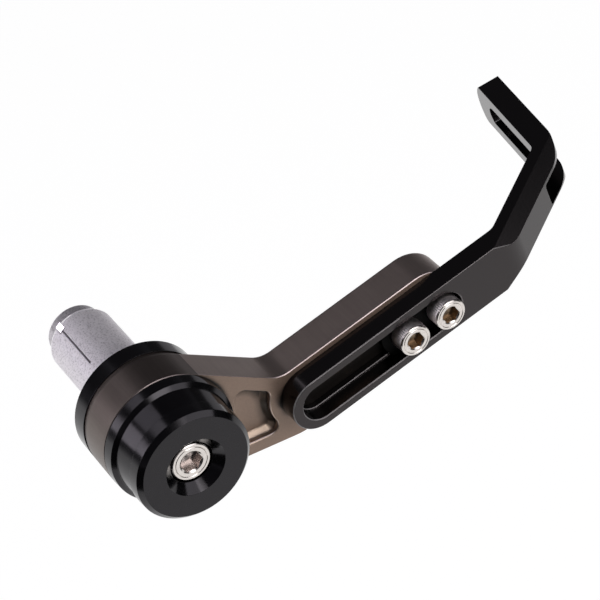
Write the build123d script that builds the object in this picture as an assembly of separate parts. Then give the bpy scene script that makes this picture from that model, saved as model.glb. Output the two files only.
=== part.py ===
"""Brake lever guard for the right end of a motorcycle handlebar.

An expanding plug goes into the bar. It carries a milled arm, which turns about the bar, and a
slotted blade, which slides along the arm and hooks round the end of the brake lever.

Frame: millimetres, +X outboard along the bar, +Y forward along the slotted leg, +Z up. The origin
is on the bar's axis, in the plane of the bar's end face.
"""
from build123d import *
from math import atan2, asin, cos, degrees, hypot, radians, sin, sqrt, tan
import os

# Stack on the bar's axis
boss_radius = 16.0
spacer_length = 4.6
arm_back_x = 5.45
arm_face_x = 15.6
bolt_bore_radius = 3.25

# Expanding plug
sleeve_radius = 8.6
sleeve_length = 29.7
sleeve_relief_x = -12.0
sleeve_relief_radius = 5.3
sleeve_mouth_x = -23.0
sleeve_mouth_radius = 7.6
sleeve_edge_length = 0.85
sleeve_edge_depth = 0.35
slit_width = 0.5
slit_length = 18.2
slit_angle = 113.0
key_width = 1.7
key_length = 2.7
key_slot_width = 1.9
key_slot_length = 3.0
cone_clearance = 0.3
cone_flare_x = -30.4
cone_shoulder_x = -33.6
cone_shoulder_radius = 7.1
cone_end_x = -35.0
cone_end_radius = 6.0
thread_clearance = 0.05

# Bar end weight, turned
weight_length = 13.8
rear_ring_length = 2.8
rear_ring_chamfer_length = 0.8
neck_radius = 14.7
neck_front_radius = 13.9
front_ring_radius = 14.55
front_ring_length = 3.1
front_chamfer_length = 1.2
front_face_radius = 13.2
ring_taper = 0.2
countersink_radius = 7.5
counterbore_radius = 5.35
edge_break = 0.25

# Cap screws: M6 through the bar's axis, M5 through the blade
m6_radius = 3.0
m6_head_radius = 5.0
m6_head_height = 6.0
m6_key = 5.0
m6_length = 55.0
m6_head_inset = 2.2
m5_radius = 2.5
m5_head_radius = 4.15
m5_head_height = 5.0
m5_key = 4.0
m5_length = 12.0
head_chamfer = 0.35
socket_turn = 43.0

# Arm outline, seen along the bar
leg_slope = 45.0
arm_top_z = -6.8
arm_bottom_z = -25.5
arm_elbow_y = 28.3
arm_end_y = 69.0
elbow_top_radius = 6.5
elbow_bottom_radius = 12.0
arm_chamfer = 0.4

# Milled pocket in the arm's first leg
pocket_depth = 3.0
pocket_top_wall = 3.5
pocket_bottom_wall = 3.2
pocket_boss_radius = 17.6
pocket_end_radius = 9.9
pocket_corner = 2.3
pocket_floor_chamfer = 1.3
pocket_rim = 0.2

# Blade, seen from above: three straight runs and two bends
blade_gap = 0.05
blade_thickness = 5.9
blade_height = 14.15
blade_mid_z = -15.08
blade_start_y = 26.5
blade_join_y = 60.0
first_bend_y = 91.83
first_bend = 32.0
second_run = 27.23
second_bend = 49.5
first_bend_radii = (4.0, 10.0)
second_bend_radii = (2.5, 13.0)
blade_chamfer = 0.25
top_bevel = 3.0
bottom_bevel = 3.4

# Blade slot with its stepped lip
slot_width = 9.6
slot_start_y = 34.15
slot_end_y = 71.1
lip_width = 0.55
lip_height = 1.8
lip_chamfer = 0.2
slot_chamfer = 0.25

# Blade tip and its window, along the third run from the second bend
tip_top = 30.25
tip_middle = 34.05
tip_bottom = 33.15
tip_low_corner = 2.6
tip_high_corner = 0.6
window_height = 6.6
window_start = 9.0
window_inset = 6.4
window_corner = 0.8

# Screws and clamp plate in the slot
screw_y = (60.6, 71.1)
plate_thickness = 1.4
plate_width = 9.3
plate_start_y = 54.2
plate_start_radius = 7.0
plate_corner = 0.8

# Values worked out from the sizes above
spacer_face_x = spacer_length
weight_face_x = arm_face_x + weight_length
bolt_head_x = weight_face_x - m6_head_inset - m6_head_height
blade_back_x = arm_face_x + blade_gap
blade_face_x = blade_back_x + blade_thickness
lip_x = blade_back_x + lip_height
plate_face_x = lip_x + plate_thickness
end_radius = blade_height / 2
blade_top_z = blade_mid_z + end_radius
blade_bottom_z = blade_mid_z - end_radius
blade_end_centre = (blade_start_y + end_radius, blade_mid_z)
beyond = 100.0


def heading(angle):
    """Return the plan direction of a run that is turned inboard from +Y by an angle in degrees."""
    return Vector(-sin(radians(angle)), cos(radians(angle)))


def outward(angle):
    """Return the plan normal on the outboard side of a run with that heading."""
    return Vector(cos(radians(angle)), sin(radians(angle)))


def turned(points):
    """Revolve a closed outline of (x, radius) points about the bar's axis."""
    return revolve(make_face(Polyline(*points, close=True)), Axis.X)


def milled(face, start_x, end_x):
    """Extrude a (y, z) face along the bar between two stations."""
    return extrude(Plane.YZ.offset(start_x) * face, amount=end_x - start_x)


def disc(radius, start_x, end_x, centre=(0, 0)):
    """Return a solid disc across the bar's axis or a parallel one."""
    return milled(Pos(*centre) * Circle(radius), start_x, end_x)


def obround(width, start_y, end_y):
    """Return the (y, z) face of a round-ended slot along the blade."""
    centre = Pos((start_y + end_y) / 2, blade_mid_z)
    return centre * SlotCenterToCenter(end_y - start_y, width)


def offset_corner(point, angle_in, angle_out, distance):
    """Return the corner of two runs after both are moved outward by a distance."""
    before = outward(angle_in)
    after = outward(angle_out)
    return point + (before + after) * (distance / (1 + before.dot(after)))


def cap_screw(radius, length, head_radius, head_height, key):
    """Return a socket head cap screw along X, its head's seat in the plane x = 0."""
    profile = [
        (-length, 0),
        (-length, radius),
        (0, radius),
        (0, head_radius),
        (head_height - head_chamfer, head_radius),
        (head_height, head_radius - head_chamfer),
        (head_height, 0),
    ]
    socket = Rot(0, 0, socket_turn) * RegularPolygon(key / 2, 6, major_radius=False)
    return turned(profile) - milled(socket, head_height - key * 0.6, head_height)


def make_expander_sleeve():
    """Return the split sleeve that the cone spreads inside the bar."""
    end_x = -sleeve_length
    profile = [
        (0, bolt_bore_radius),
        (0, sleeve_radius),
        (end_x + sleeve_edge_length, sleeve_radius),
        (end_x, sleeve_radius - sleeve_edge_depth),
        (end_x, sleeve_mouth_radius),
        (sleeve_mouth_x, sleeve_relief_radius),
        (sleeve_relief_x, sleeve_relief_radius),
        (sleeve_relief_x, bolt_bore_radius),
    ]
    saw_cut = Pos(end_x + slit_length / 2, 0, 0) * Box(slit_length, beyond, slit_width)
    key_slot = Pos(end_x + key_slot_length / 2, beyond / 2, 0)
    key_slot *= Box(key_slot_length, beyond, key_slot_width)
    return turned(profile) - Rot(slit_angle, 0, 0) * (saw_cut + key_slot)


def cone_radius(x):
    """Return the cone's radius where the sleeve's taper, less its clearance, passes x."""
    slope = (sleeve_mouth_radius - sleeve_relief_radius) / (sleeve_length + sleeve_mouth_x)
    return sleeve_relief_radius - cone_clearance + slope * (sleeve_mouth_x - x)


def make_expander_cone():
    """Return the cone nut with the key that stops it turning in the sleeve."""
    bore = m6_radius + thread_clearance
    profile = [
        (sleeve_mouth_x, bore),
        (sleeve_mouth_x, cone_radius(sleeve_mouth_x)),
        (cone_flare_x, cone_radius(cone_flare_x)),
        (cone_shoulder_x, cone_shoulder_radius),
        (cone_end_x, cone_end_radius),
        (cone_end_x, bore),
    ]
    key_x = -sleeve_length - 0.3
    key_top = sleeve_radius - 0.2
    key_root = cone_radius(-sleeve_length) - 1.0
    key_middle = Pos(key_x + key_length / 2, (key_top + key_root) / 2, 0)
    key = key_middle * Box(key_length, key_top - key_root, key_width)
    return turned(profile) + Rot(slit_angle, 0, 0) * key


def make_inner_spacer():
    """Return the ring between the bar's end and the arm."""
    return disc(boss_radius, 0, spacer_face_x) - disc(bolt_bore_radius, 0, spacer_face_x)


def make_bar_end_weight():
    """Return the turned weight: tapered rear ring, neck and front ring, countersunk face."""
    ring_x = arm_face_x + rear_ring_length
    neck_x = ring_x + rear_ring_chamfer_length
    chamfer_x = weight_face_x - front_chamfer_length
    front_ring_x = chamfer_x - front_ring_length
    step = front_ring_radius - neck_front_radius
    countersink_x = weight_face_x - (countersink_radius - counterbore_radius)
    profile = [
        (arm_face_x, bolt_bore_radius),
        (arm_face_x, boss_radius),
        (ring_x, boss_radius - ring_taper),
        (neck_x, neck_radius),
        (front_ring_x - step, neck_front_radius),
        (front_ring_x, front_ring_radius),
        (chamfer_x, front_ring_radius - ring_taper),
        (weight_face_x, front_face_radius),
        (weight_face_x, countersink_radius),
        (countersink_x, counterbore_radius),
        (bolt_head_x, counterbore_radius),
        (bolt_head_x, bolt_bore_radius),
    ]
    return turned(profile)


def lower_leg_tangent():
    """Return the angle, in degrees, of the arm's lower edge, which leaves the boss as a tangent."""
    reach = hypot(arm_elbow_y, arm_bottom_z)
    return degrees(atan2(arm_bottom_z, arm_elbow_y) + asin(boss_radius / reach))


def arm_outline():
    """Return the arm's (y, z) face: boss, tapered first leg, straight second leg, round end."""
    lower_slope = lower_leg_tangent()
    top_point = Vector(boss_radius * cos(radians(leg_slope)), boss_radius * sin(radians(leg_slope)))
    low_angle = radians(lower_slope - 90)
    low_point = Vector(boss_radius * cos(low_angle), boss_radius * sin(low_angle))
    top_elbow_y = top_point.X + (top_point.Y - arm_top_z) / tan(radians(leg_slope))
    nose = (arm_top_z - arm_bottom_z) / 2
    top = FilletPolyline(top_point, (top_elbow_y, arm_top_z), (arm_end_y, arm_top_z), radius=elbow_top_radius)
    end = ThreePointArc(
        (arm_end_y, arm_top_z),
        (arm_end_y + nose, arm_top_z - nose),
        (arm_end_y, arm_bottom_z),
    )
    bottom = FilletPolyline(
        (arm_end_y, arm_bottom_z), (arm_elbow_y, arm_bottom_z), low_point, radius=elbow_bottom_radius
    )
    boss = ThreePointArc(low_point, (-boss_radius, 0), top_point)
    return make_face(top + end + bottom + boss)


def pocket_outline():
    """Return the pocket's (y, z) face, between the leg's edges, the boss and the blade's round end."""
    upper_sum = (boss_radius - pocket_top_wall) * sqrt(2)
    upper_start = Vector(upper_sum / 2, upper_sum / 2)
    lower_slope = radians(lower_leg_tangent())
    lower_reach = boss_radius - pocket_bottom_wall
    lower_start = Vector(lower_reach * sin(lower_slope), -lower_reach * cos(lower_slope))
    end_y = blade_end_centre[0]
    lower_end_z = lower_start.Y + (end_y - lower_start.X) * tan(lower_slope)
    wedge = make_face(
        Polyline(lower_start, (end_y, lower_end_z), (end_y, upper_sum - end_y), upper_start, close=True)
    )
    pocket = wedge - Circle(pocket_boss_radius) - Pos(*blade_end_centre) * Circle(pocket_end_radius)
    web = pocket.faces().sort_by(SortBy.AREA)[-1]
    return fillet(web.vertices(), pocket_corner)


def pocket_cut():
    """Return the cutter's volume: sloped feet to the walls and a broken rim."""
    floor_x = arm_face_x - pocket_depth
    outline = pocket_outline()
    cut = milled(outline, floor_x, arm_face_x)
    cut = chamfer(cut.edges().filter_by_position(Axis.X, floor_x, floor_x), pocket_floor_chamfer)
    rim = Plane.YZ.offset(arm_face_x - pocket_rim) * outline
    return cut + extrude(rim, amount=pocket_rim, taper=-45)


def make_mounting_arm():
    """Return the milled arm with its pocket, bolt bore and the two tapped holes for the blade."""
    plate = milled(arm_outline(), arm_back_x, arm_face_x)
    rims = plate.edges().filter_by_position(Axis.X, arm_face_x, arm_face_x)
    rims += plate.edges().filter_by_position(Axis.X, arm_back_x, arm_back_x)
    arm = chamfer(rims, arm_chamfer)
    arm += disc(boss_radius - edge_break, spacer_face_x, arm_back_x + 1)
    arm -= pocket_cut()
    arm -= disc(bolt_bore_radius, 0, arm_face_x)
    for y in screw_y:
        arm -= disc(m5_radius + thread_clearance, 0, arm_face_x, (y, blade_mid_z))
    return arm


def blade_path(offset):
    """Return the two bend corners and the tip's far point of the blade's plan line at an offset."""
    tip_heading = first_bend + second_bend
    corner_1 = Vector(blade_back_x, first_bend_y)
    corner_2 = corner_1 + heading(first_bend) * second_run
    far_point = corner_2 + heading(tip_heading) * beyond
    return (
        offset_corner(corner_1, 0, first_bend, offset),
        offset_corner(corner_2, first_bend, tip_heading, offset),
        far_point + outward(tip_heading) * offset,
    )


def blade_band(start_y, inner, outer):
    """Return the blade's plan face between two offsets from its inboard side."""
    edges = []
    for offset in (inner, outer):
        corner_1, corner_2, far_point = blade_path(offset)
        start = (blade_back_x + offset, start_y)
        radii = [
            inner_radius + (outer_radius - inner_radius) * offset / blade_thickness
            for inner_radius, outer_radius in (first_bend_radii, second_bend_radii)
        ]
        edges.append(FilletPolyline(start, corner_1, corner_2, far_point, radius=radii))
    start_line = Line(edges[0] @ 0, edges[1] @ 0)
    end_line = Line(edges[0] @ 1, edges[1] @ 1)
    return make_face(edges[0] + edges[1] + start_line + end_line)


def tip_plane():
    """Return the plane of the third run's inner face: x along the tip, y up."""
    tip_heading = first_bend + second_bend
    corner = blade_path(0)[1]
    return Plane(
        origin=(corner.X, corner.Y, 0),
        x_dir=heading(tip_heading),
        z_dir=outward(tip_heading),
    )


def tip_shape(inset, low_z, high_z, low_corner, high_corner):
    """Return the solid that keeps the tip inside its curved end, less an inset."""
    end = ThreePointArc(
        (tip_bottom - inset, low_z),
        (tip_middle - inset, blade_mid_z),
        (tip_top - inset, high_z),
    )
    back = Polyline(
        (tip_top - inset, high_z), (-beyond, high_z), (-beyond, low_z), (tip_bottom - inset, low_z)
    )
    face = make_face(end + back)
    for z, radius in ((low_z, low_corner), (high_z, high_corner)):
        end_vertex = face.vertices().filter_by_position(Axis.Y, z, z).sort_by(Axis.X)[-1]
        face = fillet(end_vertex, radius)
    return extrude(tip_plane() * face, amount=beyond, both=True)


def blade_blank():
    """Return the bent bar with its rounded start and broken edges, before slot, bevels and window."""
    start_face = obround(blade_height, blade_end_centre[0], blade_join_y + blade_height)
    start = milled(start_face, blade_back_x, blade_face_x)
    rims = start.edges().filter_by_position(Axis.X, blade_face_x, blade_face_x)
    rims += start.edges().filter_by_position(Axis.X, blade_back_x, blade_back_x)
    start = split(chamfer(rims, blade_chamfer), Plane.XZ.offset(-blade_join_y), keep=Keep.TOP)
    band_face = blade_band(blade_join_y, 0, blade_thickness)
    band = Pos(0, 0, blade_bottom_z) * extrude(band_face, amount=blade_height)
    long_edges = band.edges().filter_by_position(Axis.Z, blade_top_z, blade_top_z)
    long_edges += band.edges().filter_by_position(Axis.Z, blade_bottom_z, blade_bottom_z)
    long_edges = long_edges.filter_by(lambda edge: edge.center().Y > blade_join_y + 1)
    far_point = blade_path(blade_thickness / 2)[2]
    long_edges = long_edges.filter_by(lambda edge: (edge.center() - far_point).length > blade_height)
    band = chamfer(long_edges, blade_chamfer)
    return start + band


def run_bevels():
    """Return the two long prisms that bevel the second run's outboard edges, top and bottom."""
    corner = blade_path(blade_thickness)[0]
    section = Plane(
        origin=(corner.X, corner.Y, 0),
        x_dir=outward(first_bend),
        z_dir=heading(first_bend) * -1,
    )
    prisms = []
    for edge_z, inward, bevel in ((blade_top_z, -1, top_bevel), (blade_bottom_z, 1, bottom_bevel)):
        reach = bevel + edge_break
        face = make_face(
            Polyline(
                (-bevel - reach, edge_z - inward * reach),
                (reach, edge_z - inward * reach),
                (reach, edge_z + inward * (bevel + reach)),
                close=True,
            )
        )
        prisms.append(extrude(section * face, amount=beyond * 2, both=True))
    return prisms


def slot_cut():
    """Return the stepped slot: wide above the lip, narrower through it, with broken rims."""
    wide = obround(slot_width, slot_start_y, slot_end_y)
    narrow = obround(slot_width - 2 * lip_width, slot_start_y, slot_end_y)
    cut = milled(narrow, blade_back_x, lip_x) + milled(wide, lip_x, blade_face_x)
    for face, face_x, size in ((narrow, lip_x, lip_chamfer), (wide, blade_face_x, slot_chamfer)):
        rim = Plane.YZ.offset(face_x - size) * face
        cut += extrude(rim, amount=size, taper=-45)
    return cut


def window_cut():
    """Return the window that follows the blade round its second bend."""
    half = window_height / 2
    low_z = blade_mid_z - half
    high_z = blade_mid_z + half
    band = Pos(0, 0, low_z) * extrude(
        blade_band(blade_join_y, -edge_break, blade_thickness + edge_break), amount=window_height
    )
    corner = blade_path(0)[1]
    second_run_plane = Plane(
        origin=(corner.X, corner.Y, 0),
        x_dir=heading(first_bend),
        z_dir=outward(first_bend),
    )
    start = Pos((beyond - window_start) / 2, blade_mid_z) * Rectangle(beyond + window_start, window_height)
    start = fillet(start.vertices().sort_by(Axis.X)[:2], window_corner)
    opening = extrude(second_run_plane * start, amount=beyond, both=True)
    return band & opening & tip_shape(window_inset, low_z, high_z, window_corner, window_corner)


def make_guard_blade():
    """Return the blade: slotted first run, bevelled second run, windowed tip with a curved end."""
    blade = blade_blank() & tip_shape(0, blade_bottom_z, blade_top_z, tip_low_corner, tip_high_corner)
    blade -= slot_cut()
    for prism in run_bevels():
        blade -= prism
    return blade - window_cut()


def make_clamp_plate():
    """Return the plate that spans the slot's lip under the heads of the two screws."""
    half = plate_width / 2
    shoulder = plate_start_y + plate_start_radius - sqrt(plate_start_radius ** 2 - half ** 2)
    end_y = screw_y[1]
    outline = ThreePointArc(
        (shoulder, blade_mid_z - half), (plate_start_y, blade_mid_z), (shoulder, blade_mid_z + half)
    )
    outline += Line((shoulder, blade_mid_z + half), (end_y, blade_mid_z + half))
    outline += ThreePointArc(
        (end_y, blade_mid_z + half), (end_y + half, blade_mid_z), (end_y, blade_mid_z - half)
    )
    outline += Line((end_y, blade_mid_z - half), (shoulder, blade_mid_z - half))
    face = make_face(outline)
    face = fillet(face.vertices().sort_by(Axis.X)[:2], plate_corner)
    plate = milled(face, lip_x, plate_face_x)
    for y in screw_y:
        plate -= disc(m5_radius + thread_clearance, lip_x, plate_face_x, (y, blade_mid_z))
    return plate


def make_centre_bolt():
    """Return the long cap screw that draws the cone into the sleeve."""
    screw = cap_screw(m6_radius, m6_length, m6_head_radius, m6_head_height, m6_key)
    return Pos(bolt_head_x, 0, 0) * screw


def make_blade_screws():
    """Return the two cap screws that clamp the blade to the arm."""
    screw = cap_screw(m5_radius, m5_length, m5_head_radius, m5_head_height, m5_key)
    return Compound([Pos(plate_face_x, y, blade_mid_z) * screw for y in screw_y])


nodes = {
    "expander_sleeve": make_expander_sleeve(),
    "expander_cone": make_expander_cone(),
    "inner_spacer": make_inner_spacer(),
    "mounting_arm": make_mounting_arm(),
    "bar_end_weight": make_bar_end_weight(),
    "centre_bolt": make_centre_bolt(),
    "guard_blade": make_guard_blade(),
    "clamp_plate": make_clamp_plate(),
    "blade_screws": make_blade_screws(),
}

os.makedirs("parts", exist_ok=True)
for name, shape in nodes.items():
    export_step(shape, f"parts/{name}.step")
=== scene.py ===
"""Finishes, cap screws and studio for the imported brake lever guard.

The CAD solids are the frame and keep their shapes. Each one gets its finish here, the plain cap
screws give way to knurled ones, and a white floor, soft lamps and the camera are set around them.
"""
from __future__ import annotations

import logging
import math
from dataclasses import dataclass, field
from enum import Enum
from typing import Any

import bmesh
import bpy
from mathutils import Matrix, Vector


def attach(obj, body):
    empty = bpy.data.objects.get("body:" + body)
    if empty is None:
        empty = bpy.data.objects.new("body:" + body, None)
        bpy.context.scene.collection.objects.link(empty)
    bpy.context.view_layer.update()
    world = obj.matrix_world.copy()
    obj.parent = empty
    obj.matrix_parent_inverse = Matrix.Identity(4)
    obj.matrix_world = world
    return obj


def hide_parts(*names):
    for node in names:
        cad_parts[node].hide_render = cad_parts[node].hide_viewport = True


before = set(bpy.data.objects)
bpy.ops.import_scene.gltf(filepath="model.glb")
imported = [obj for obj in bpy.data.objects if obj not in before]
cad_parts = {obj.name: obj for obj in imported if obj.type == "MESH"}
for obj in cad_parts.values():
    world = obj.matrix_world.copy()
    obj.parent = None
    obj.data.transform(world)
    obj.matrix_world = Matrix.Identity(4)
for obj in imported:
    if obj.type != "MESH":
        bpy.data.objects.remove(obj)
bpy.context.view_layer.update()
MM = 0.001
LOG = logging.getLogger("lever_guard")

Tree = bpy.types.NodeTree
Node = bpy.types.Node
Socket = bpy.types.NodeSocket
Triple = tuple[float, float, float]

# Rays from each point: enough for an even painted shade in the slot and the pocket, and for smooth
# edges.
SKY_RAYS = 32
EDGE_RAYS = 6
# A noise stays mostly between these two levels, and the sum of two noises between these.
NOISE = (0.3, 0.7)
NOISE_SUM = (0.7, 1.3)
# How unevenly the dye and its satin lie, and the gloss of the black coat.
DYE_SPREAD = (0.93, 1.07)
COAT_SPREAD = (0.85, 1.2)
# Relief of the satin grain and the tumbling marks, and of the turned lines under the coat.
FINE_RELIEF = {"Strength": 0.02, "Distance": 0.02 * MM}
LATHE_RELIEF = {"Strength": 0.05, "Distance": 0.01 * MM}
# The size of a normal's part along the bar tells the sides, the chamfers and the faces apart.
SIDE_END = 0.6
CUT_START = 0.66
RIM_FACING = 0.7
CUT_END = 0.76
FACE_START = 0.85
# A turned face counts as flat between these two.
FLAT = (0.9, 0.98)
# A direction of a piece, turned as the piece stands in the room.
TO_ROOM = {"vector_type": "VECTOR", "convert_from": "OBJECT", "convert_to": "WORLD"}
# The pocket's upper and forward walls, and how near they have to stand to count.
POCKET_WALLS = (0, 0.87, 0.5)
POCKET_REACH_MM = 4.2
# Open shares of the sky between which the pocket, and the floor of a slot, go from painted shade to
# plain.
POCKET_OPEN = (0.45, 0.8)
SLOT_OPEN = (0.6, 0.69)
# How far a surface faces those walls, at the foot of one and where their painted shade ends.
FOOT_LEE = (-0.45, -0.05)
LEE_END = (0.05, 0.3)
# Sizes of a normal's part along the bar between which a pocket's side goes over into its floor.
FLOOR_START = (0.05, 0.3)
# Where the outboard face begins, the pocket ends and the cutter's corners end, from the rim's start.
FACE_FROM_RIM_MM = (0.1, 0.3)
POCKET_FROM_RIM_MM = (-0.4, -0.2)
CORNER_FROM_RIM_MM = (-0.3, 0)
# How far the normal leans outboard along a broken rim.
RIM_LEAN = (1.35, 0, 0)
# How far the shading normal of the cone's key leans, as a slope that turns its top to the left lamp.
KEY_LEAN = (0.17, -0.25, 0)
# Normals along the bar between which the sleeve's inner end goes from machined to cast.
MACHINED = (-0.32, -0.25)
MACHINED_ROUGHNESS = 0.2
# Strength of the casting's relief where it is cast and where it is machined or painted as the key's
# highlight, and its depth.
CAST_RELIEF = (0.5, 0.05)
CAST_DEPTH_MM = 0.08
# Levels of the grain that make dark specks, what they leave of the tone, and how dark patches are.
SPECKS = (0.3, 0.52)
SPECK_TONES = (0.42, 1)
PATCH_DEPTH = 0.15
# Levels of the tumbling marks between which steel goes from dark to light, and how its gloss varies.
TUMBLED = (0.3, 0.6)
TUMBLED_SPREAD = (-0.04, 0.05)
# Heights round one ridge of a knurl: its root, a flank, its crest and the other flank.
RIDGE = (0.0, 0.7, 1.0, 0.7)
# Shares of the key's size: the socket's depth, then the radius, depth and tip of its drilled foot.
SOCKET_DEPTH = 0.6
DRILL_RADIUS = 0.3
DRILL_DEPTH = 0.12
DRILL_TIP = 0.05
# Where the face's groove runs, as a share of the head's radius.
GROOVE_PLACE = 0.8
# The thread's point: its radius as a share of the thread's, and its length.
POINT_RADIUS = 0.8
POINT_MM = 0.4
# Edges of a screw stay sharp above this angle.
SHARP_ANGLE = 28


class Body(Enum):
    """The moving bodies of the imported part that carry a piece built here."""

    ARM = "arm"
    BOLT = "bolt"


class Zone(Enum):
    """The zones of a cap screw, by their material's place."""

    FACE = 0
    SOCKET = 1
    KNURL = 2


def linear(code: str) -> tuple[float, float, float, float]:
    """Turn an sRGB hex colour into linear RGBA.

    Args:
        code: The colour as six hex digits after a hash sign.

    Returns:
        The linear red, green and blue, with an alpha of 1.
    """
    channels = [int(code[i:i + 2], 16) / 255 for i in (1, 3, 5)]
    red, green, blue = (
        c / 12.92 if c <= 0.04045 else ((c + 0.055) / 1.055) ** 2.4 for c in channels
    )
    return red, green, blue, 1.0


def per_metre(size_mm: float) -> float:
    """Return the texture scale at which one feature measures size_mm."""
    return 1 / (size_mm * MM)


def set_inputs(tree: Tree, node: Node, values: dict[str | int, Any]) -> None:
    """Set a node's inputs.

    Args:
        tree: The tree that holds the node.
        node: The node.
        values: A value for each input, by its name or place. An output socket is linked, a node is
            linked by its first output, and anything else is set as a constant.
    """
    for key, value in values.items():
        source = value.outputs[0] if isinstance(value, Node) else value
        if isinstance(source, Socket):
            tree.links.new(source, node.inputs[key])
        else:
            node.inputs[key].default_value = source


def add_node(
    tree: Tree, kind: str, *values: Any, named: dict[str | int, Any] | None = None, **settings: Any
) -> Node:
    """Add a node with its settings, constants and links.

    Args:
        tree: The node tree that takes the node.
        kind: The node's Blender type name.
        values: Values for its first inputs, in their order.
        named: Values for other inputs, by their names or places.
        settings: Attributes of the node itself.

    Returns:
        The new node.
    """
    node = tree.nodes.new(kind)
    for name, value in settings.items():
        setattr(node, name, value)
    set_inputs(tree, node, {**dict(enumerate(values)), **(named or {})})
    return node


def fill_ramp(ramp: bpy.types.ColorRamp, stops: dict[float, str]) -> None:
    """Give a colour ramp its stops.

    Args:
        ramp: The ramp.
        stops: The colours as sRGB hex, by their places from 0 to 1.
    """
    for spare in range(len(stops) - len(ramp.elements)):
        ramp.elements.new(0.5 + 0.1 * spare)
    for element, (position, code) in zip(ramp.elements, sorted(stops.items())):
        element.position = position
        element.color = linear(code)


def fill_curve(curve: bpy.types.CurveMapping, stops: dict[float, float]) -> None:
    """Give a curve straight runs between its stops, level before the first and after the last.

    Args:
        curve: The curve.
        stops: The levels from 0 to 1, by their places from 0 to 1.
    """
    points = curve.curves[0].points
    ordered = sorted({0.0: stops[min(stops)], **stops, 1.0: stops[max(stops)]}.items())
    for position, level in ordered[1:-1]:
        points.new(position, level)
    for point, (position, level) in zip(points, ordered):
        point.location = (position, level)
        point.handle_type = "VECTOR"
    curve.update()


def stretched(tree: Tree, *sizes_mm: float) -> Socket:
    """Return object coordinates in which one unit measures sizes_mm along X, Y and Z.

    Args:
        tree: The finish's node tree.
        sizes_mm: One size for all the axes, or one for each.

    Returns:
        The coordinates.
    """
    place = add_node(tree, "ShaderNodeTexCoord")
    sizes = sizes_mm if len(sizes_mm) == 3 else sizes_mm * 3
    scale = tuple(per_metre(size) for size in sizes)
    mapping = add_node(tree, "ShaderNodeMapping", place.outputs["Object"], named={"Scale": scale})
    return mapping.outputs["Vector"]


def along_bar(tree: Tree) -> Socket:
    """Return a point's place along the bar, in metres."""
    place = add_node(tree, "ShaderNodeTexCoord")
    return add_node(tree, "ShaderNodeSeparateXYZ", place.outputs["Object"]).outputs["X"]


def axis_radius(tree: Tree) -> Socket:
    """Return a point's distance from the bar's axis, in metres."""
    place = add_node(tree, "ShaderNodeTexCoord")
    across = add_node(
        tree, "ShaderNodeVectorMath", place.outputs["Object"], (0, 1, 1), operation="MULTIPLY"
    )
    return add_node(tree, "ShaderNodeVectorMath", across, operation="LENGTH").outputs["Value"]


def leaning(tree: Tree, normal: Node | Socket, amount: float | Node, towards: Triple) -> Node:
    """Return a normal that leans over, as a broken edge does.

    Args:
        tree: The finish's node tree.
        normal: The normal.
        amount: How far it leans, from 0 to 1.
        towards: Where it leans, and how far at most.

    Returns:
        The node that gives the new normal.
    """
    lean = add_node(
        tree, "ShaderNodeVectorMath", towards, named={"Scale": amount}, operation="SCALE"
    )
    total = add_node(tree, "ShaderNodeVectorMath", normal, lean, operation="ADD")
    return add_node(tree, "ShaderNodeVectorMath", total, operation="NORMALIZE")


@dataclass(frozen=True)
class Finish:
    """One surface finish of the guard.

    Attributes:
        name: The real material, which also names the Blender material.
        dark: The deepest tone of its colour, as sRGB hex.
        light: The palest tone of its colour, as sRGB hex.
        roughness: Its mean roughness.
    """

    name: str
    dark: str
    light: str
    roughness: float

    def material(self) -> bpy.types.Material:
        """Return this finish's material, made on first use."""
        found = bpy.data.materials.get(self.name)
        if found is not None:
            return found
        made = bpy.data.materials.new(self.name)
        made.use_nodes = True
        tree = made.node_tree
        tree.nodes.clear()
        shader = add_node(tree, "ShaderNodeBsdfPrincipled")
        add_node(tree, "ShaderNodeOutputMaterial", shader)
        self.surface(tree, shader)
        return made

    def surface(self, tree: Tree, shader: Node) -> None:
        """Wire this finish's colour, gloss and relief into its shader."""
        raise NotImplementedError

    def dress(self, piece: bpy.types.Object) -> None:
        """Give a CAD node this finish in its material slots."""
        if not piece.material_slots:
            piece.data.materials.append(None)
        for slot in piece.material_slots:
            slot.material = self.material()


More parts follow.
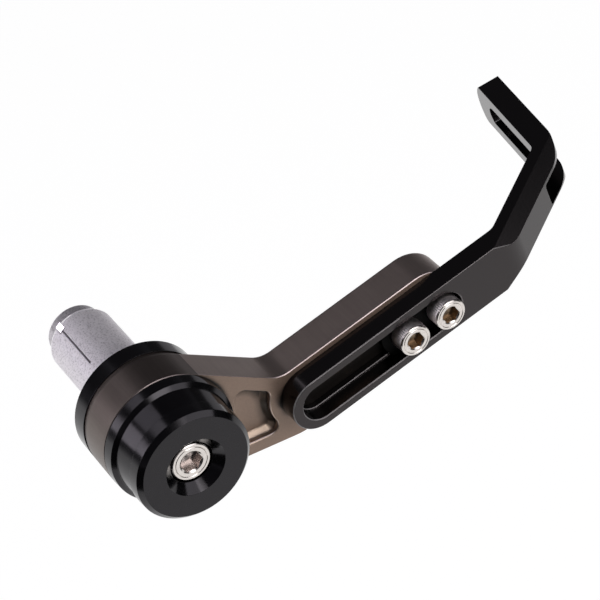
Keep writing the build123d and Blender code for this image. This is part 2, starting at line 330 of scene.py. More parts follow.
@dataclass(frozen=True)
class AnodisedAluminium(Finish):
    """Milled and dyed aluminium with a satin oxide layer.

    Attributes:
        side: The dye's tone on the milled sides, which run along the bar, as sRGB hex.
        side_roughness: Roughness of those sides.
        cut: Its tone on chamfers, paler where the dye is thin; on the bronze it is raised further as a
            painted highlight on a pocket's lower foot, as sRGB hex.
        cut_roughness: Roughness of the chamfers.
        metallic: How much of the metal shows through the dyed oxide on the sides.
        face_metallic: How much of it shows on faces and chamfers.
        ior: Refractive index of the oxide, where it hides the metal.
        sheen: Tint of the oxide's reflection, as sRGB hex.
        rim: Tone of the outboard rim, where the edge is broken, as sRGB hex.
        rim_mm: Where that rim begins on the sides, along the bar.
        turned_mm: Radius round the bar's axis within which sides are turned and dark, not milled.
        turned_tone: What is left there of the dye's tone.
        turned_gloss: What is left there of the roughness.
        hollow_mm: Radius of the cutter's corners inboard of that rim, in pockets.
        hollow_tone: What is left of the dye's tone under the painted shade beside a pocket's walls.
        slot_mm: How near the walls of another piece's slot have to stand for painted shade at their
            foot, if at all.
        slot_tone: What is left of the dye's tone under the painted shade at the foot of that slot.
        edge_mm: Radius of the broken edges.
        grain_mm: Size of the satin grain, drawn coarser than blasting leaves it so that it shows.
        streak_mm: Width of the cutter's lines, drawn coarser than a mill leaves them so that they show.
        streak_run_mm: Length of those lines, along the bar.
        cloud_mm: Size of the dye's faint clouds.
    """

    side: str
    side_roughness: float
    cut: str
    cut_roughness: float
    metallic: float
    face_metallic: float
    ior: float
    sheen: str
    rim: str
    rim_mm: float
    turned_mm: float = 0.0
    turned_tone: float = 0.4
    turned_gloss: float = 0.95
    hollow_mm: float = 0.12
    hollow_tone: float = 0.08
    slot_mm: float = 0.0
    slot_tone: float = 0.03
    edge_mm: float = 0.12
    grain_mm: float = 0.35
    streak_mm: float = 0.5
    streak_run_mm: float = 18
    cloud_mm: float = 9

    def open_sky(self, tree: Tree, normal: Node, walls: Node, reach_mm: float, own: bool) -> Socket:
        """Return how much of the sky towards some walls is open.

        Args:
            tree: The finish's node tree.
            normal: The rounded normal.
            walls: The direction of the walls.
            reach_mm: How near a wall has to stand to count.
            own: Whether only walls of the same piece count.

        Returns:
            The open share, about 0.85 on a plain face.
        """
        tilt = add_node(tree, "ShaderNodeVectorMath", normal, walls, operation="ADD")
        sky = add_node(
            tree,
            "ShaderNodeAmbientOcclusion",
            named={"Distance": reach_mm * MM, "Normal": tilt},
            only_local=own,
            samples=SKY_RAYS,
        )
        return sky.outputs["AO"]

    def covered(self, tree: Tree, normal: Node) -> Node:
        """Find where the outboard face lies at the foot of another piece's slot, between its walls, to
        paint shade there.

        Args:
            tree: The finish's node tree.
            normal: The rounded normal.

        Returns:
            The node that gives up to 1 there.
        """
        start, end = ((self.rim_mm + offset) * MM for offset in FACE_FROM_RIM_MM)
        dark = add_node(tree, "ShaderNodeMapRange", along_bar(tree), start, end, 0, 1)
        for upward, reach_mm in ((1, 2 * self.slot_mm), (-1, self.slot_mm)):
            wall = add_node(tree, "ShaderNodeVectorTransform", (0, 0, upward), **TO_ROOM)
            sky = self.open_sky(tree, normal, wall, reach_mm, False)
            closed = add_node(tree, "ShaderNodeMapRange", sky, *SLOT_OPEN, 1, 0)
            dark = add_node(tree, "ShaderNodeMath", dark, closed, operation="MULTIPLY")
        return dark

    def edge_radius(self, tree: Tree) -> Node:
        """Return the node that gives the edges' radius: the cutter's in pockets, small at the rim."""
        start, end = ((self.rim_mm + offset) * MM for offset in CORNER_FROM_RIM_MM)
        radii = (self.hollow_mm * MM, self.edge_mm * MM)
        return add_node(tree, "ShaderNodeMapRange", along_bar(tree), start, end, *radii)

    def sheltered(self, tree: Tree, normal: Node, along: Node) -> Node:
        """Find the places beside a pocket's upper and forward walls, where shade is painted into the
        dye.

        Args:
            tree: The finish's node tree.
            normal: The rounded normal.
            along: The size of its part along the bar.

        Returns:
            The node that gives up to 1 there.
        """
        walls = add_node(tree, "ShaderNodeVectorTransform", POCKET_WALLS, **TO_ROOM)
        sky = self.open_sky(tree, normal, walls, POCKET_REACH_MM, True)
        closed = add_node(tree, "ShaderNodeMapRange", sky, *POCKET_OPEN, 1, 0)
        facing = add_node(tree, "ShaderNodeVectorMath", normal, walls, operation="DOT_PRODUCT")
        lee = facing.outputs["Value"]
        foot = add_node(tree, "ShaderNodeMapRange", lee, *FOOT_LEE, 1, 0)
        start, end = ((self.rim_mm + offset) * MM for offset in POCKET_FROM_RIM_MM)
        deep = add_node(tree, "ShaderNodeMapRange", along_bar(tree), start, end, 1, 0)
        corner = add_node(tree, "ShaderNodeMath", foot, deep, operation="MULTIPLY")
        dark = add_node(tree, "ShaderNodeMath", closed, corner, operation="MAXIMUM")
        floor = add_node(tree, "ShaderNodeMapRange", along, *FLOOR_START, 0, 1)
        behind = add_node(tree, "ShaderNodeMapRange", lee, *LEE_END, 1, 0)
        for part in (floor, behind):
            dark = add_node(tree, "ShaderNodeMath", dark, part, operation="MULTIPLY")
        return dark

    def rim_mask(self, tree: Tree, along: Node) -> Node:
        """Return the node that gives 1 on the outboard rim of the sides.

        Args:
            tree: The finish's node tree.
            along: The size of the normal's part along the bar.

        Returns:
            The node.
        """
        rim = self.rim_mm * MM
        outboard = add_node(tree, "ShaderNodeMath", along_bar(tree), rim, operation="GREATER_THAN")
        beside = add_node(tree, "ShaderNodeMath", along, SIDE_END, operation="LESS_THAN")
        return add_node(tree, "ShaderNodeMath", outboard, beside, operation="MULTIPLY")

    def dye(self, tree: Tree, along: Node, rim: Node) -> Socket:
        """Return the dye's colour by facing, with the thin dye of the rim and the chamfers' tone, which
        on the bronze also paints a highlight.

        Args:
            tree: The finish's node tree.
            along: The size of the normal's part along the bar.
            rim: 1 on the rim.

        Returns:
            The colour.
        """
        ramp = add_node(tree, "ShaderNodeValToRGB", along)
        fill_ramp(
            ramp.color_ramp,
            {
                0: self.side,
                SIDE_END: self.side,
                CUT_START: self.cut,
                CUT_END: self.cut,
                FACE_START: self.dark,
                1: self.light,
            },
        )
        edged = add_node(
            tree, "ShaderNodeMix", rim, named={6: ramp, 7: linear(self.rim)}, data_type="RGBA"
        )
        return edged.outputs[2]

    def satin(self, tree: Tree, along: Node, rim: Node) -> Node:
        """Return the node that gives the roughness by facing, where the rim is as rough as a chamfer.

        Args:
            tree: The finish's node tree.
            along: The size of the normal's part along the bar.
            rim: 1 on the rim.

        Returns:
            The node.
        """
        chamfer = add_node(tree, "ShaderNodeMapRange", rim, 0, 1, 0, RIM_FACING)
        facet = add_node(tree, "ShaderNodeMath", along, chamfer, operation="MAXIMUM")
        curve = add_node(tree, "ShaderNodeFloatCurve", named={"Value": facet})
        fill_curve(
            curve.mapping,
            {
                SIDE_END: self.side_roughness,
                CUT_START: self.cut_roughness,
                CUT_END: self.cut_roughness,
                FACE_START: self.roughness,
            },
        )
        return curve

    def surface(self, tree: Tree, shader: Node) -> None:
        """Wire the dye's tone by facing, faint cutter lines along the bar, a fine satin grain and
        painted shade in slots and pockets.
        """
        normal = add_node(tree, "ShaderNodeBevel", self.edge_radius(tree), samples=EDGE_RAYS)
        facing = add_node(tree, "ShaderNodeSeparateXYZ", normal)
        along = add_node(tree, "ShaderNodeMath", facing.outputs["X"], operation="ABSOLUTE")
        rim = self.rim_mask(tree, along)
        turned = add_node(
            tree, "ShaderNodeMath", axis_radius(tree), self.turned_mm * MM, operation="LESS_THAN"
        )
        streak = (self.streak_run_mm, self.streak_mm, self.streak_mm)
        cloud, streaks, grain = (
            add_node(
                tree,
                "ShaderNodeTexNoise",
                named={"Vector": stretched(tree, *sizes), "Scale": 1, "Detail": detail},
            )
            for sizes, detail in (((self.cloud_mm,), 3), (streak, 2), ((self.grain_mm,), 2))
        )
        tone = add_node(tree, "ShaderNodeMath", cloud, streaks, operation="ADD")
        depth = add_node(tree, "ShaderNodeMapRange", tone, *NOISE_SUM, *DYE_SPREAD)
        # The turned boss keeps a darker tone of its own; the masks added below paint shade.
        masks = [(turned, self.turned_tone)]
        # Painted shade: the dye's tone is scaled down on the face at the foot of the blade's slot.
        if self.slot_mm:
            masks.append((self.covered(tree, normal), self.slot_tone))
        # Painted shade beside a pocket's upper and forward walls, and on its foot that faces away from
        # them.
        if self.hollow_mm > self.edge_mm:
            masks.append((self.sheltered(tree, normal, along), self.hollow_tone))
        for mask, left in masks:
            factor = add_node(tree, "ShaderNodeMapRange", mask, 0, 1, 1, left)
            depth = add_node(tree, "ShaderNodeMath", depth, factor, operation="MULTIPLY")
        colour = add_node(
            tree,
            "ShaderNodeVectorMath",
            self.dye(tree, along, rim),
            named={"Scale": depth},
            operation="SCALE",
        )
        relief = add_node(
            tree,
            "ShaderNodeBump",
            named={"Height": grain, "Normal": leaning(tree, normal, rim, RIM_LEAN), **FINE_RELIEF},
        )
        gloss = self.satin(tree, along, rim)
        for factor in (
            add_node(tree, "ShaderNodeMapRange", grain, *NOISE, *DYE_SPREAD),
            add_node(tree, "ShaderNodeMapRange", turned, 0, 1, 1, self.turned_gloss),
        ):
            gloss = add_node(tree, "ShaderNodeMath", gloss, factor, operation="MULTIPLY")
        set_inputs(
            tree,
            shader,
            {
                "Base Color": colour,
                "Roughness": gloss,
                "Normal": relief,
                "Metallic": self.metallic,
                "IOR": self.ior,
                "Specular Tint": linear(self.sheen),
            },
        )
        if self.face_metallic != self.metallic:
            shares = (self.metallic, self.face_metallic)
            bare = add_node(tree, "ShaderNodeMapRange", along, SIDE_END, CUT_START, *shares)
            set_inputs(tree, shader, {"Metallic": bare})


@dataclass(frozen=True)
class TurnedBlack(Finish):
    """Turned aluminium under a gloss black coat.

    Attributes:
        groove_mm: Spacing of the turned lines, drawn coarser than a lathe leaves them so that they show.
        face_roughness: Roughness of the flat faces, which keep more of those lines.
        ior: Refractive index of the coat.
        sheen: Tint of the coat's reflection, as sRGB hex.
        cloud_mm: Size of the coat's faint clouds.
        edge_mm: Radius of the broken edges.
    """

    groove_mm: float
    face_roughness: float
    ior: float = 1.42
    sheen: str = "#fdf7ff"
    cloud_mm: float = 3
    edge_mm: float = 0.12

    def surface(self, tree: Tree, shader: Node) -> None:
        """Wire a gloss that turns satin on flat faces, with faint lathe lines round the axis."""
        path = add_node(tree, "ShaderNodeCombineXYZ", along_bar(tree), axis_radius(tree))
        lines = add_node(
            tree,
            "ShaderNodeTexNoise",
            named={"Vector": path, "Scale": per_metre(self.groove_mm), "Detail": 1},
        )
        cloud = add_node(
            tree,
            "ShaderNodeTexNoise",
            named={"Vector": stretched(tree, self.cloud_mm), "Scale": 1, "Detail": 4},
        )
        place = add_node(tree, "ShaderNodeTexCoord")
        facing = add_node(tree, "ShaderNodeSeparateXYZ", place.outputs["Normal"])
        spread = (self.roughness, self.face_roughness)
        satin = add_node(tree, "ShaderNodeMapRange", facing.outputs["X"], *FLAT, *spread)
        patchy = add_node(tree, "ShaderNodeMapRange", cloud, *NOISE, *COAT_SPREAD)
        edges = add_node(tree, "ShaderNodeBevel", self.edge_mm * MM, samples=EDGE_RAYS)
        relief = add_node(
            tree, "ShaderNodeBump", named={"Height": lines, "Normal": edges, **LATHE_RELIEF}
        )
        tint = add_node(tree, "ShaderNodeValToRGB", cloud)
        fill_ramp(tint.color_ramp, dict(zip(NOISE, (self.dark, self.light))))
        set_inputs(
            tree,
            shader,
            {
                "Base Color": tint,
                "Roughness": add_node(tree, "ShaderNodeMath", satin, patchy, operation="MULTIPLY"),
                "Normal": relief,
                "IOR": self.ior,
                "Specular Tint": linear(self.sheen),
            },
        )


@dataclass(frozen=True)
class CastAluminium(Finish):
    """Bare die cast aluminium with a coarse grain, machined bright where it faces the bar's inside.

    Attributes:
        grain_mm: Size of the casting's grain.
        patch_mm: Size of the faint patches.
        metallic: How much of the metal shows through the dull oxide.
        level: Its tone between the dark and the light one, where it isn't bright.
        worn_mm: Radius round the bar's axis beyond which the key's top is painted in the palest tone as
            a highlight, with a sloped normal.
        edge_mm: Radius of the broken edges.
    """

    grain_mm: float
    patch_mm: float
    metallic: float
    level: float
    worn_mm: float = 1000.0
    edge_mm: float = 0.12

    def surface(self, tree: Tree, shader: Node) -> None:
        """Wire a grain with dark specks, faint patches, bright machined edges and a painted highlight on
        the key's top into a bare metal.
        """
        patches = add_node(
            tree,
            "ShaderNodeTexNoise",
            named={"Vector": stretched(tree, self.patch_mm), "Scale": 1, "Detail": 3},
        )
        grain = add_node(
            tree,
            "ShaderNodeTexNoise",
            named={"Vector": stretched(tree, self.grain_mm), "Scale": 1, "Detail": 2, "Roughness": 0.6},
        )
        place = add_node(tree, "ShaderNodeTexCoord")
        facing = add_node(tree, "ShaderNodeSeparateXYZ", place.outputs["Normal"])
        machined = add_node(tree, "ShaderNodeMapRange", facing.outputs["X"], *MACHINED, 1, 0)
        # Painted highlight: beyond worn_mm the key's top takes the palest tone and a normal leaning to
        # the left lamp.
        worn = add_node(
            tree, "ShaderNodeMath", axis_radius(tree), self.worn_mm * MM, operation="GREATER_THAN"
        )
        bright = add_node(tree, "ShaderNodeMath", machined, worn, operation="MAXIMUM")
        levels = (self.level - PATCH_DEPTH, self.level)
        patchy = add_node(tree, "ShaderNodeMapRange", patches, *NOISE, *levels)
        specks = add_node(tree, "ShaderNodeMapRange", grain, *SPECKS, *SPECK_TONES)
        tone = add_node(tree, "ShaderNodeMath", patchy, specks, operation="MULTIPLY")
        clean = add_node(tree, "ShaderNodeMath", tone, bright, operation="MAXIMUM")
        tint = add_node(tree, "ShaderNodeValToRGB", clean)
        fill_ramp(tint.color_ramp, {0: self.dark, 1: self.light})
        edges = add_node(tree, "ShaderNodeBevel", self.edge_mm * MM, samples=EDGE_RAYS)
        relief = add_node(
            tree,
            "ShaderNodeBump",
            named={
                "Height": grain,
                "Strength": add_node(tree, "ShaderNodeMapRange", bright, 0, 1, *CAST_RELIEF),
                "Distance": CAST_DEPTH_MM * MM,
                "Normal": leaning(tree, edges, worn, KEY_LEAN),
            },
        )
        spread = (self.roughness, MACHINED_ROUGHNESS)
        set_inputs(
            tree,
            shader,
            {
                "Base Color": tint,
                "Roughness": add_node(tree, "ShaderNodeMapRange", bright, 0, 1, *spread),
                "Normal": relief,
                "Metallic": self.metallic,
            },
        )


@dataclass(frozen=True)
class StainlessSteel(Finish):
    """Cold headed stainless steel, polished by tumbling.

    Attributes:
        speck_mm: Size of the tumbling marks.
        crown: How far the ridges' rounded tops turn the surface outboard.
    """

    speck_mm: float
    crown: float = 0.0

    def surface(self, tree: Tree, shader: Node) -> None:
        """Wire small tumbling marks into a bright metal."""
        specks = add_node(
            tree,
            "ShaderNodeTexNoise",
            named={"Vector": stretched(tree, self.speck_mm), "Scale": 1, "Detail": 3},
        )
        relief = add_node(tree, "ShaderNodeBump", named={"Height": specks, **FINE_RELIEF})
        if self.crown:
            shape = add_node(tree, "ShaderNodeNewGeometry")
            lean = leaning(tree, shape.outputs["Normal"], self.crown, (1, 0, 0))
            set_inputs(tree, relief, {"Normal": lean})
        tint = add_node(tree, "ShaderNodeValToRGB", specks)
        fill_ramp(tint.color_ramp, dict(zip(TUMBLED, (self.dark, self.light))))
        spread = (self.roughness + change for change in TUMBLED_SPREAD)
        set_inputs(
            tree,
            shader,
            {
                "Base Color": tint,
                "Roughness": add_node(tree, "ShaderNodeMapRange", specks, *NOISE, *spread),
                "Normal": relief,
                "Metallic": 1.0,
            },
        )


# Bronze dye: dull and warm on the blasted faces, taupe and satin on the milled sides, with thin bright
# lines along its edges, a painted highlight on the pocket's lower foot, and painted shade beside the
# pocket's walls and at the foot of the blade's slot.
BRONZE_ANODISED = AnodisedAluminium(
    "bronze anodised aluminium",
    "#846f60",
    "#897567",
    0.38,
    side="#a69992",
    side_roughness=0.42,
    # Pale chamfers: thinner dye, raised further to paint the highlight on the pocket's lower foot.
    cut="#cdb6a2",
    cut_roughness=0.32,
    metallic=1.0,
    face_metallic=0.45,
    ior=1.5,
    sheen="#ffffff",
    rim="#a39695",
    rim_mm=15.22,
    turned_mm=16.2,
    hollow_mm=0.9,
    # Paints shade on the bronze face at the foot of the blade's slot.
    slot_mm=9.0,
)
# Black dye hides the metal: only the oxide's warm sheen shows, and grows at a low angle.
BLACK_ANODISED = AnodisedAluminium(
    "black anodised aluminium",
    "#060606",
    "#0a0909",
    0.2,
    side="#030303",
    side_roughness=0.16,
    cut="#7a7878",
    cut_roughness=0.25,
    metallic=0.0,
    face_metallic=0.0,
    ior=1.5,
    sheen="#fff2f3",
    rim="#7a7878",
    rim_mm=21.3,
)
# The plate is blackened and dull, so the slot stays dark round the screws.
BLACK_OXIDE = AnodisedAluminium(
    "black oxide",
    "#030303",
    "#050505",
    0.5,
    side="#030303",
    side_roughness=0.5,
    cut="#0a0a0a",
    cut_roughness=0.4,
    metallic=0.0,
    face_metallic=0.0,
    ior=1.12,
    sheen="#ffffff",
    rim="#0a0a0a",
    rim_mm=18.7,
)
# Gloss black: crisp reflections of the lamps on the rings, a softer sheen on the front face.
GLOSS_BLACK = TurnedBlack(
    "gloss black aluminium", "#030304", "#060607", 0.15, groove_mm=0.3, face_roughness=0.28
)
# Bare casting: pale and grainy, with dark specks and a white glint along its machined edge.
CAST_ALUMINIUM = CastAluminium(
    "cast aluminium",
    "#a39ea3",
    "#fdf9fd",
    0.5,
    grain_mm=0.45,
    patch_mm=1.6,
    metallic=0.54,
    level=1.0,
)
# Bare nut: a little darker than the sleeve; its key's top is painted in the palest tone as a highlight.
RAW_ALUMINIUM = CastAluminium(
    "raw aluminium",
    "#6c686c",
    "#faf6fa",
    0.46,
    grain_mm=0.45,
    patch_mm=1.0,
    metallic=0.8,
    level=0.72,
    worn_mm=8.0,
)
# Bright screws: white where they face the floor, dark where they face the room.
STAINLESS_STEEL = StainlessSteel("stainless steel", "#d2cbc6", "#dfd9d4", 0.2, speck_mm=0.5)
# Knurled sides: their fine ridges spread the light, so they stay grey in the dark slot.
KNURLED_STEEL = StainlessSteel(
    "knurled stainless steel", "#d9d2d1", "#eee8e7", 0.32, speck_mm=0.5, crown=0.25
)
# The small sockets keep a brown film, the large one is cleaner.
BROWNED_STEEL = StainlessSteel("browned stainless steel", "#9c8a76", "#a6937e", 0.3, speck_mm=0.5)
PICKLED_STEEL = StainlessSteel("pickled stainless steel", "#bcb3af", "#c6bdb9", 0.26, speck_mm=0.5)


@dataclass
class CapScrew:
    """A socket head cap screw along the bar's axis, in millimetres.

    Attributes:
        centre: The head's seat on its axis.
        thread_radius: Outer radius of the thread.
        length: Length under the head.
        head_radius: Radius of the head over its knurl.
        head_height: Height of the head.
        key: Size of the hex key.
        ridges: Number of ridges in the knurl.
        knurl_depth: Depth of the knurl.
        edge: Chamfer at the head's rim.
        groove_half: Half the width of the face's groove, and how far the lead passes the key's corners.
        groove_depth: Depth of that groove.
        lead_angle: Slope of the socket's lead, in degrees.
        socket_turn: Angle of the socket about the axis, in degrees.
    """

    centre: Triple
    thread_radius: float
    length: float
    head_radius: float
    head_height: float
    key: float
    ridges: int
    knurl_depth: float = 0.14
    edge: float = 0.35
    groove_half: float = 0.12
    groove_depth: float = 0.09
    lead_angle: float = 35.0
    socket_turn: float = 43.0

    def hex_radius(self, angle: float) -> float:
        """Return the distance from the axis to the socket's wall at an angle in radians."""
        sixth = math.pi / 3
        turned = (angle - math.radians(self.socket_turn)) % sixth
        return self.key / 2 / math.cos(turned - sixth / 2)

    def rings(self, angle: float, ridge: float) -> list[tuple[float, float]]:
        """Return the screw's section at one angle.

        Args:
            angle: The angle about the axis, in radians.
            ridge: How far the knurl rises there, from 0 to 1.

        Returns:
            Points of height over the seat and radius, from the thread's end to the socket's floor.
        """
        top = self.head_height
        outer = self.head_radius
        root = outer - self.knurl_depth * (1 - ridge)
        groove = outer * GROOVE_PLACE
        mouth = self.key / math.sqrt(3) + self.groove_half
        wall = self.hex_radius(angle)
        lead = (mouth - wall) * math.tan(math.radians(self.lead_angle))
        floor = top - self.key * SOCKET_DEPTH
        shank = [
            (-self.length, self.thread_radius * POINT_RADIUS),
            (-self.length + POINT_MM, self.thread_radius),
            (0, self.thread_radius),
        ]
        # The head's foot is rounded, and the knurl runs out below the chamfer.
        side = [
            (0, outer - 0.35),
            (0.3, outer - 0.12),
            (0.6, root),
            (top - self.edge - 0.35, root),
            (top - self.edge - 0.1, outer - 0.06),
            (top - self.edge * 0.5, outer - self.edge * 0.35),
        ]
        face = [
            (top, outer - self.edge),
            (top, groove + self.groove_half),
            (top - self.groove_depth, groove),
            (top, groove - self.groove_half),
        ]
        socket = [
            (top, mouth),
            (top - lead, wall),
            (floor, wall),
            (floor, self.key * DRILL_RADIUS),
            (floor - self.key * DRILL_DEPTH, self.key * DRILL_TIP),
        ]
        return shank + side + face + socket

    @staticmethod
    def zone(band: int, points: int) -> Zone:
        """Return the zone of a band of the section, which has so many points."""
        knurl_first, knurl_last, socket_bands = 4, 6, 4
        if knurl_first <= band <= knurl_last:
            return Zone.KNURL
        return Zone.SOCKET if band >= points - socket_bands else Zone.FACE

    def add_to(self, mesh: bmesh.types.BMesh) -> None:
        """Add this screw's closed surface to a mesh, in metres."""
        steps = self.ridges * len(RIDGE)
        columns = []
        for step in range(steps):
            angle = 2 * math.pi * step / steps + math.radians(self.socket_turn)
            column = []
            for height, radius in self.rings(angle, RIDGE[step % len(RIDGE)]):
                point = Vector((height, radius * math.cos(angle), radius * math.sin(angle)))
                column.append(mesh.verts.new((Vector(self.centre) + point) * MM))
            columns.append(column)
        for step, column in enumerate(columns):
            following = columns[(step + 1) % steps]
            for i in range(len(column) - 1):
                face = mesh.faces.new((column[i], following[i], following[i + 1], column[i + 1]))
                face.material_index = self.zone(i, len(column)).value
        mesh.faces.new([column[0] for column in reversed(columns)])
        mesh.faces.new([column[-1] for column in columns]).material_index = Zone.SOCKET.value


def screw_piece(
    name: str, screws: list[CapScrew], node: str, body: Body, socket: Finish
) -> bpy.types.Object:
    """Build cap screws as one piece that stands for their CAD node.

    Args:
        name: The piece's name.
        screws: The screws in it.
        node: The CAD node that it replaces.
        body: The body that it moves with.
        socket: The finish inside their sockets.

    Returns:
        The new piece.
    """
    built = bmesh.new()
    for screw in screws:
        screw.add_to(built)
    bmesh.ops.recalc_face_normals(built, faces=built.faces)
    mesh = bpy.data.meshes.new(name)
    built.to_mesh(mesh)
    built.free()
    mesh.shade_smooth()
    mesh.set_sharp_from_angle(angle=math.radians(SHARP_ANGLE))
    piece = bpy.data.objects.new(name, mesh)
    bpy.context.scene.collection.objects.link(piece)
    for finish in (STAINLESS_STEEL, socket, KNURLED_STEEL):
        mesh.materials.append(finish.material())
    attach(piece, body.value)
    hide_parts(node)
    return piece


@dataclass
class ExpandingPlug:
    """The split sleeve, its cone and the ring against the bar's end.

    Attributes:
        finishes: The finish of each node.
    """

    finishes: dict[str, Finish] = field(
        default_factory=lambda: {
            "expander_sleeve": CAST_ALUMINIUM,
            "expander_cone": RAW_ALUMINIUM,
            "inner_spacer": GLOSS_BLACK,
        }
    )

    def dress(self) -> list[str]:
        """Dress the plug's nodes and return their names."""
        for name, finish in self.finishes.items():
            finish.dress(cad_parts[name])
        return list(self.finishes)


@dataclass
class EndWeight:
    """The turned weight and the long bolt in its recess.

    Attributes:
        bolt: The M6 bolt, its head's seat at the foot of the recess.
    """

    bolt: CapScrew = field(
        default_factory=lambda: CapScrew(
            centre=(21.2, 0, 0),
            thread_radius=3.0,
            length=55.0,
            head_radius=5.0,
            head_height=6.0,
            key=5.0,
            ridges=48,
        )
    )

    def dress(self) -> list[str]:
        """Dress the weight, build the bolt and return the pieces' names."""
        GLOSS_BLACK.dress(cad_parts["bar_end_weight"])
        bolt = screw_piece("knurled_bolt", [self.bolt], "centre_bolt", Body.BOLT, PICKLED_STEEL)
        return ["bar_end_weight", bolt.name]


@dataclass
class SwivelArm:
    """The milled arm that carries the blade.

    Attributes:
        finish: Its finish.
    """

    finish: Finish = BRONZE_ANODISED

    def dress(self) -> list[str]:
        """Dress the arm and return its name."""
        self.finish.dress(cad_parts["mounting_arm"])
        return ["mounting_arm"]


@dataclass
class SlidingBlade:
    """The blade, the plate in its slot and the two screws that clamp it.

    Attributes:
        screw_places: Where the screws stand along the slot, in millimetres.
        seat_x: Where their heads sit, outboard of the plate.
        mid_z: Height of the slot's middle.
    """

    screw_places: tuple[float, float] = (60.6, 71.1)
    seat_x: float = 18.85
    mid_z: float = -15.08

    def screw(self, place: float) -> CapScrew:
        """Return the M5 screw that stands at a place along the slot."""
        return CapScrew(
            centre=(self.seat_x, place, self.mid_z),
            thread_radius=2.5,
            length=12.0,
            head_radius=4.08,
            head_height=5.0,
            key=4.0,
            ridges=42,
        )

    def dress(self) -> list[str]:
        """Dress the blade and plate, build the screws and return the pieces' names."""
        BLACK_ANODISED.dress(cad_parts["guard_blade"])
        BLACK_OXIDE.dress(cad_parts["clamp_plate"])
        screws = [self.screw(place) for place in self.screw_places]
        pair = screw_piece("knurled_screws", screws, "blade_screws", Body.ARM, BROWNED_STEEL)
        return ["guard_blade", "clamp_plate", pair.name]


def heading(azimuth: float, elevation: float) -> Vector:
    """Return the unit vector at an azimuth from +X towards +Y and an elevation, in degrees."""
    flat = math.cos(math.radians(elevation))
    return Vector(
        (
            flat * math.cos(math.radians(azimuth)),
            flat * math.sin(math.radians(azimuth)),
            math.sin(math.radians(elevation)),
        )
    )


@dataclass
class Softbox:
    """A rectangular studio lamp aimed at the guard.

    Attributes:
        name: The lamp's name.
        azimuth: Where it stands round the guard, in degrees from +X towards +Y.
        elevation: How high it stands, in degrees.
        spread: The angles that it fills, across and up, in degrees.
        radiance: How bright its face is, where 1 is white.
        tint: Its colour, as sRGB hex.
        distance: How far away it stands, in metres.
    """

    name: str
    azimuth: float
    elevation: float
    spread: tuple[float, float]
    radiance: float
    tint: str
    distance: float = 1.2

    def place(self, aim: Vector) -> None:
        """Stand the lamp around a point and turn it to that point."""
        width, height = (2 * self.distance * math.tan(math.radians(angle / 2)) for angle in self.spread)
        lamp = bpy.data.lights.new(self.name, "AREA")
        lamp.shape = "RECTANGLE"
        lamp.size = width
        lamp.size_y = height
        lamp.energy = self.radiance * math.pi * width * height
        lamp.color = linear(self.tint)[:3]
        stand = bpy.data.objects.new(self.name, lamp)
        towards = heading(self.azimuth, self.elevation)
        stand.location = aim + towards * self.distance
        stand.rotation_euler = towards.to_track_quat("Z", "Y").to_euler()
        bpy.context.scene.collection.objects.link(stand)


@dataclass
class Card:
    """A curved card round the guard that only the gloss sees, to shape its reflections.

    Attributes:
        name: The card's name.
        reach: The azimuths that it stands between, in degrees.
        low: Height of its lower edge, in metres.
        high: Height of its upper edge, in metres.
        tone: How it looks in the gloss, as sRGB hex.
        radius: How far it stands from the guard, in metres.
        columns: Number of flat strips that it is made of.
    """

    name: str
    reach: tuple[float, float]
    low: float
    high: float
    tone: str
    radius: float = 0.62
    columns: int = 24

    def place(self, aim: Vector) -> None:
        """Stand the card around a point, out of the camera's sight."""
        first, last = self.reach
        points = []
        for step in range(self.columns + 1):
            foot = heading(first + (last - first) * step / self.columns, 0) * self.radius
            points += [(foot.x, foot.y, self.low), (foot.x, foot.y, self.high)]
        strips = [(2 * i, 2 * i + 2, 2 * i + 3, 2 * i + 1) for i in range(self.columns)]
        mesh = bpy.data.meshes.new(self.name)
        mesh.from_pydata(points, [], strips)
        felt = bpy.data.materials.new(self.name)
        felt.use_nodes = True
        tree = felt.node_tree
        tree.nodes.clear()
        glow = add_node(tree, "ShaderNodeEmission", named={"Color": linear(self.tone), "Strength": 1.0})
        add_node(tree, "ShaderNodeOutputMaterial", glow)
        mesh.materials.append(felt)
        card = bpy.data.objects.new(self.name, mesh)
        card.location = (aim.x, aim.y, 0)
        card.visible_camera = False
        card.visible_diffuse = False
        card.visible_shadow = False
        bpy.context.scene.collection.objects.link(card)


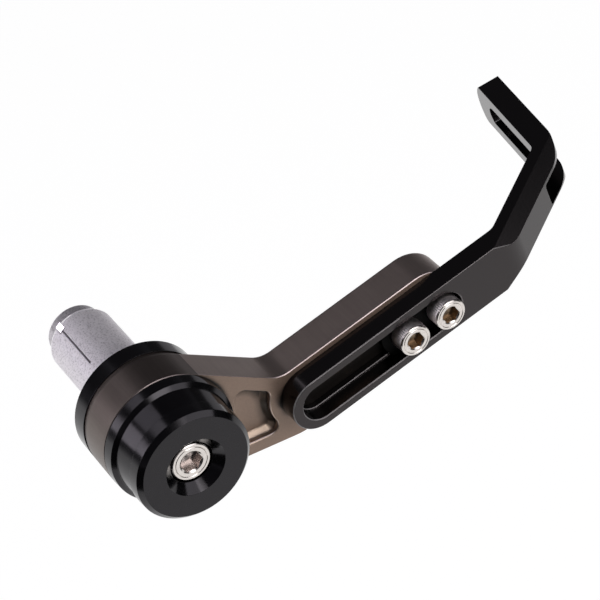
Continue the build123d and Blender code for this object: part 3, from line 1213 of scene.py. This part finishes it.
@dataclass
class Studio:
    """The white floor, the room, the lamps and the camera.

    Attributes:
        aim: The point that the lamps face, in metres.
        floor_z: Height of the floor, in metres.
        floor_size: Side of the floor, in metres.
        paper: Tone of the floor as the light sees it, as sRGB hex.
        shadow: Tone that the shadow takes from the floor in the picture, as sRGB hex.
        glow: Tone of the floor in the picture without its light, as sRGB hex.
        room: Tones of the room as sRGB hex, by their height from the horizon at 0 to overhead at 1.
        lamps: The soft lamps.
        cards: The cards that shape the reflections.
        image_px: Side of the photograph.
        focal_px: The camera's focal length in the photograph's pixels.
        offset_px: How far the photograph's middle lies off the camera's axis, across and up.
        sensor_mm: Width of the camera's sensor.
        sight: How far the camera sees, in metres.
        camera_place: Where the camera stands, in metres.
        camera_right: The camera's direction to its right.
        camera_back: The direction from the guard back to the camera.
    """

    aim: Vector = field(default_factory=lambda: Vector((0.012, 0.05, -0.012)))
    floor_z: float = -0.26
    floor_size: float = 9.0
    paper: str = "#f4f3f2"
    shadow: str = "#5f5f5f"
    glow: str = "#f9f9f9"
    room: dict[float, str] = field(
        default_factory=lambda: {0.0: "#ffffff", 0.05: "#dcdcde", 0.16: "#6c6b70", 0.4: "#4a494d"}
    )
    lamps: list[Softbox] = field(
        default_factory=lambda: [
            Softbox("key softbox", 17.5, 32, (22, 27), 2.5, "#fffdfc"),
            Softbox("right softbox", 40, 20, (54, 48), 1.6, "#fdfcff"),
            Softbox("left softbox", -125, 30, (19, 24), 2.6, "#fbf6ff"),
            Softbox("back softbox", -155, 56, (28, 21), 1.2, "#f9f6ff"),
            Softbox("side softbox", -95, 38, (34, 34), 2.0, "#fbf7ff"),
        ]
    )
    cards: list[Card] = field(
        default_factory=lambda: [
            Card("front curtain", (-100, 100), -0.259, 0.1, "#292829"),
            Card("right card", (100, 178), -0.259, -0.04, "#b0aeb2"),
            Card("right curtain", (100, 178), -0.04, 0.16, "#424143"),
        ]
    )
    image_px: int = 600
    focal_px: float = 2200
    offset_px: tuple[float, float] = (-0.5, 0.5)
    sensor_mm: float = 36
    sight: float = 30
    camera_place: Triple = (0.37818, -0.04495, 0.3472)
    camera_right: Triple = (0.50345, 0.79625, -0.33544)
    camera_back: Triple = (0.72087, -0.17307, 0.67111)

    def lay_floor(self) -> None:
        """Lay a floor that the camera and the metal see as white, with a faint shadow."""
        half = self.floor_size / 2
        mesh = bpy.data.meshes.new("floor")
        corners = [(-half, -half, 0), (half, -half, 0), (half, half, 0), (-half, half, 0)]
        mesh.from_pydata(corners, [], [(0, 1, 2, 3)])
        floor = bpy.data.objects.new("floor", mesh)
        floor.location.z = self.floor_z
        bpy.context.scene.collection.objects.link(floor)
        paper = bpy.data.materials.new("white paper")
        paper.use_nodes = True
        tree = paper.node_tree
        tree.nodes.clear()
        path = add_node(tree, "ShaderNodeLightPath")
        seen = path.outputs["Is Camera Ray"]
        for name in ("Is Glossy Ray", "Is Transmission Ray"):
            seen = add_node(tree, "ShaderNodeMath", seen, path.outputs[name], operation="MAXIMUM")
        matt = add_node(tree, "ShaderNodeBsdfDiffuse", linear(self.paper))
        faint = add_node(tree, "ShaderNodeBsdfDiffuse", linear(self.shadow))
        white = add_node(
            tree, "ShaderNodeEmission", named={"Color": linear(self.glow), "Strength": 1.0}
        )
        shown = add_node(tree, "ShaderNodeAddShader", faint, white)
        mix = add_node(tree, "ShaderNodeMixShader", seen, matt, shown)
        add_node(tree, "ShaderNodeOutputMaterial", mix)
        mesh.materials.append(paper)

    def fill_room(self) -> None:
        """Fill the room: pale at the horizon, dim overhead."""
        world = bpy.data.worlds.new("studio room")
        world.use_nodes = True
        tree = world.node_tree
        tree.nodes.clear()
        place = add_node(tree, "ShaderNodeTexCoord")
        split = add_node(tree, "ShaderNodeSeparateXYZ", place.outputs["Generated"])
        tone = add_node(tree, "ShaderNodeValToRGB", split.outputs["Z"])
        fill_ramp(tone.color_ramp, self.room)
        back = add_node(tree, "ShaderNodeBackground", named={"Color": tone, "Strength": 1.0})
        add_node(tree, "ShaderNodeOutputWorld", back)
        bpy.context.scene.world = world

    def set_camera(self) -> None:
        """Set the camera where the photograph was taken."""
        right = Vector(self.camera_right)
        back = Vector(self.camera_back)
        up = back.cross(right)
        lens = bpy.data.cameras.new("camera")
        lens.sensor_width = self.sensor_mm
        lens.lens = self.sensor_mm * self.focal_px / self.image_px
        lens.shift_x, lens.shift_y = (offset / self.image_px for offset in self.offset_px)
        lens.clip_end = self.sight
        camera = bpy.data.objects.new("camera", lens)
        turn = Matrix((right, up, back)).transposed()
        camera.matrix_world = Matrix.Translation(self.camera_place) @ turn.to_4x4()
        bpy.context.scene.collection.objects.link(camera)
        bpy.context.scene.camera = camera

    def set_up(self) -> None:
        """Set up floor, room, lamps, cards, camera and the plain view transform."""
        self.lay_floor()
        self.fill_room()
        for piece in (*self.lamps, *self.cards):
            piece.place(self.aim)
        self.set_camera()
        bpy.context.scene.view_settings.view_transform = "Standard"


def main() -> None:
    """Build each sub-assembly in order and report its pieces."""
    logging.basicConfig(level=logging.INFO, format="%(name)s: %(message)s")
    for assembly in (ExpandingPlug(), SwivelArm(), EndWeight(), SlidingBlade()):
        for name in assembly.dress():
            LOG.info("%s: %s", type(assembly).__name__, name)
    Studio().set_up()


if __name__ == "__main__":
    main()
